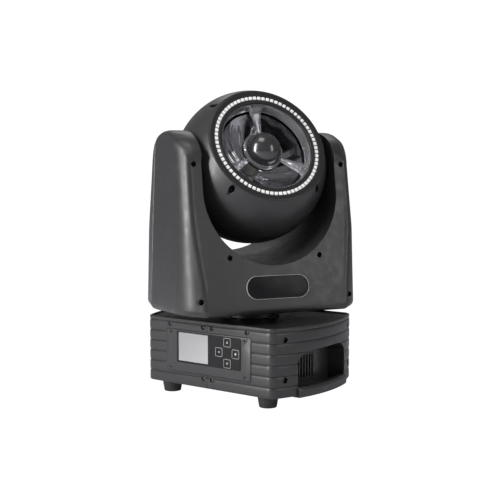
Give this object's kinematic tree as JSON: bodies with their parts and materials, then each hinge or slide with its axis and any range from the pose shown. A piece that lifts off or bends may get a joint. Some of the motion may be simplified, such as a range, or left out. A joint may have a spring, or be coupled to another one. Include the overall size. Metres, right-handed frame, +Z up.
{
  "type": "moving head light",
  "caption": "Moving head stage light: ball-shaped lamp head that tilts in a U-shaped yoke, panning on a ribbed base with a display, keys, carry handles and rubber feet.",
  "frame": {"origin": "middle of the footprint, on the plane that the rubber feet stand on", "axes": "+Z up along the pan axis; the display faces -Y; the carry handles are at +X and -X"},
  "size_m": [0.252, 0.273, 0.3967],
  "materials": {
    "shell_plastic": "charcoal ABS, satin with a fine moulded grain",
    "dark_plastic": "black ABS, satin",
    "key_plastic": "black membrane key with a thin pale outline",
    "gloss_black": "black, polished",
    "black_steel": "black powder coat, fine texture",
    "black_aluminium": "black anodised",
    "blue_plastic": "blue connector body",
    "grey_plastic": "light grey connector body",
    "rubber": "black moulded rubber",
    "zinc_steel": "zinc plated sheet",
    "aluminium": "bare",
    "motor_casing": "black lacquered laminations",
    "circuit_board": "green solder resist",
    "screen": "pale lit display",
    "light_guide": "white diffusing",
    "clear_plastic": "clear moulded optic",
    "mirror": "vacuum metallised"
  },
  "bodies": {
    "base": {"base_bottom_plate": "black_steel", "base_shell_right": "shell_plastic", "base_shell_left": "shell_plastic", "handle_right": "shell_plastic", "handle_left": "shell_plastic", "vent_grille_right": "dark_plastic", "vent_grille_left": "dark_plastic", "base_top_cover": "dark_plastic", "display_panel": "shell_plastic", "display_overlay": "gloss_black", "lcd_screen": "screen", "rear_panel": "black_steel", "power_inlet": "blue_plastic", "power_outlet": "grey_plastic", "signal_inlet": "black_steel", "signal_outlet": "black_steel", "fuse_holder": "dark_plastic", "foot_front_left": "rubber", "foot_front_right": "rubber", "foot_rear_left": "rubber", "foot_rear_right": "rubber", "power_supply": "aluminium", "control_board": "circuit_board", "pan_bridge": "zinc_steel", "pan_bearing": "zinc_steel", "pan_motor": "motor_casing", "pan_belt": "rubber"},
    "yoke": {"pan_shaft": "black_aluminium", "pan_large_pulley": "aluminium", "yoke_frame": "zinc_steel", "yoke_front_shell": "shell_plastic", "yoke_rear_shell": "shell_plastic", "yoke_badge": "gloss_black", "tilt_motor": "motor_casing", "tilt_belt": "rubber", "tilt_bearing_right": "zinc_steel", "tilt_bearing_left": "zinc_steel", "driver_board": "circuit_board"},
    "head": {"head_front_shell": "shell_plastic", "head_rear_shell": "shell_plastic", "head_chassis": "aluminium", "tilt_axle_right": "aluminium", "tilt_axle_left": "aluminium", "tilt_large_pulley": "aluminium", "bezel_ring": "dark_plastic", "light_ring": "light_guide", "ring_board": "circuit_board", "lens_spider": "clear_plastic", "centre_ball": "gloss_black", "reflector": "mirror", "led_engine": "light_guide", "heatsink": "aluminium", "fan_frame": "dark_plastic"},
    "pan_motor_pulley": {"pan_motor_pulley": "aluminium"},
    "tilt_motor_pulley": {"tilt_motor_pulley": "aluminium"},
    "fan_rotor": {"fan_rotor": "dark_plastic"},
    "key_up": {"key_up": "key_plastic"},
    "key_down": {"key_down": "key_plastic"},
    "key_back": {"key_back": "key_plastic"},
    "key_enter": {"key_enter": "key_plastic"}
  },
  "joints": [
    {"name": "pan", "type": "hinge", "parent": "base", "child": "yoke", "pos_m": [0, 0, 0.094], "axis": [0, 0, 1], "range_deg": [-332, 208]},
    {"name": "tilt", "type": "hinge", "parent": "yoke", "child": "head", "pos_m": [0, 0, 0.2964], "axis": [0.4695, 0.8829, 0], "range_deg": [-197, 73]},
    {"name": "pan_motor_spin", "type": "hinge", "parent": "base", "child": "pan_motor_pulley", "pos_m": [0.05, 0, 0.08], "axis": [0, 0, 1], "range_deg": [-1330, 834]},
    {"name": "tilt_motor_spin", "type": "hinge", "parent": "yoke", "child": "tilt_motor_pulley", "pos_m": [0.05164, 0.09712, 0.15], "axis": [0.4695, 0.8829, 0], "range_deg": [-593, 221]},
    {"name": "fan_spin", "type": "hinge", "parent": "head", "child": "fan_rotor", "pos_m": [-0.05579, 0.02967, 0.26294], "axis": [0.7803, -0.4149, 0.4679], "continuous": true},
    {"name": "key_up_press", "type": "slide", "parent": "base", "child": "key_up", "axis": [0, 1, 0], "range_m": [0, 0.0005], "stiffness_N_per_m": 800, "springref_m": -0.0005},
    {"name": "key_down_press", "type": "slide", "parent": "base", "child": "key_down", "axis": [0, 1, 0], "range_m": [0, 0.0005], "stiffness_N_per_m": 800, "springref_m": -0.0005},
    {"name": "key_back_press", "type": "slide", "parent": "base", "child": "key_back", "axis": [0, 1, 0], "range_m": [0, 0.0005], "stiffness_N_per_m": 800, "springref_m": -0.0005},
    {"name": "key_enter_press", "type": "slide", "parent": "base", "child": "key_enter", "axis": [0, 1, 0], "range_m": [0, 0.0005], "stiffness_N_per_m": 800, "springref_m": -0.0005}
  ],
  "couplings": [
    {"joint": "pan_motor_spin", "follows": "pan", "ratio": 4},
    {"joint": "tilt_motor_spin", "follows": "tilt", "ratio": 3}
  ]
}
